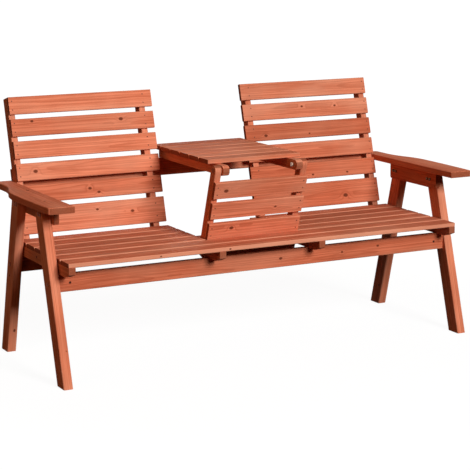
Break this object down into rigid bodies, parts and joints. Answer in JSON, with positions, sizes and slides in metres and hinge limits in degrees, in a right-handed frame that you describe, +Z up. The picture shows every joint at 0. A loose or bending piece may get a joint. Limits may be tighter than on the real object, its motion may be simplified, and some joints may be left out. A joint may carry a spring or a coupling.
{
  "type": "companion seat bench",
  "caption": "Slatted wooden garden bench with seats at both sides of a table whose leaning panel folds back into the seat, so that the table becomes a middle backrest.",
  "frame": {"origin": "centre of the bounding box, on the ground", "axes": "+X along the bench towards its right end seen from the front, +Y from the front of the seat to the back, +Z up"},
  "size_m": [1.672, 0.6868, 0.9014],
  "materials": {
    "stained_wood": "softwood with an orange-brown outdoor stain, satin",
    "steel": "zinc-plated steel"
  },
  "bodies": {
    "bench_frame": {"apron_bolts": "steel", "arm_bolts": "steel", "arm_support_left": "stained_wood", "arm_support_right": "stained_wood", "armrest_left": "stained_wood", "armrest_right": "stained_wood", "back_coach_screws": "steel", "back_rail": "stained_wood", "back_slat_1_left": "stained_wood", "back_slat_1_right": "stained_wood", "back_slat_2_left": "stained_wood", "back_slat_2_right": "stained_wood", "back_slat_3_left": "stained_wood", "back_slat_3_right": "stained_wood", "back_slat_4_left": "stained_wood", "back_slat_4_right": "stained_wood", "back_slat_5_left": "stained_wood", "back_slat_5_right": "stained_wood", "back_slat_6_left": "stained_wood", "back_slat_6_right": "stained_wood", "end_bearer_left": "stained_wood", "end_bearer_right": "stained_wood", "front_apron": "stained_wood", "front_leg_left": "stained_wood", "front_leg_right": "stained_wood", "inner_post_left": "stained_wood", "inner_post_right": "stained_wood", "lower_pivot_bolts": "steel", "middle_bearer_left": "stained_wood", "middle_bearer_right": "stained_wood", "outer_post_left": "stained_wood", "outer_post_right": "stained_wood", "rear_apron": "stained_wood", "rear_leg_left": "stained_wood", "rear_leg_right": "stained_wood", "seat_slat_1": "stained_wood", "seat_slat_2": "stained_wood", "seat_slat_3_left": "stained_wood", "seat_slat_3_right": "stained_wood", "seat_slat_4_left": "stained_wood", "seat_slat_4_right": "stained_wood", "seat_slat_5_left": "stained_wood", "seat_slat_5_right": "stained_wood", "seat_slat_6_left": "stained_wood", "seat_slat_6_right": "stained_wood"},
    "folding_panel": {"panel_slat_1": "stained_wood", "panel_slat_2": "stained_wood", "panel_slat_3": "stained_wood", "panel_slat_4": "stained_wood", "panel_upright_left": "stained_wood", "panel_upright_right": "stained_wood", "upper_pivot_bolts": "steel"},
    "table_top": {"table_batten_left": "stained_wood", "table_batten_right": "stained_wood", "table_slat_1": "stained_wood", "table_slat_2": "stained_wood", "table_slat_3": "stained_wood", "table_slat_4": "stained_wood", "table_slat_5": "stained_wood", "table_slat_6": "stained_wood"}
  },
  "joints": [
    {"name": "panel_fold", "type": "hinge", "parent": "bench_frame", "child": "folding_panel", "pos_m": [0, -0.11736, 0.382], "axis": [-1, 0, 0], "range_deg": [0, 108.65]},
    {"name": "table_turn", "type": "hinge", "parent": "folding_panel", "child": "table_top", "pos_m": [0, -0.21301, 0.66544], "axis": [1, 0, 0], "range_deg": [0, 185.15]}
  ],
  "couplings": [
    {"joint": "table_turn", "follows": "panel_fold", "ratio": 1.7041}
  ]
}
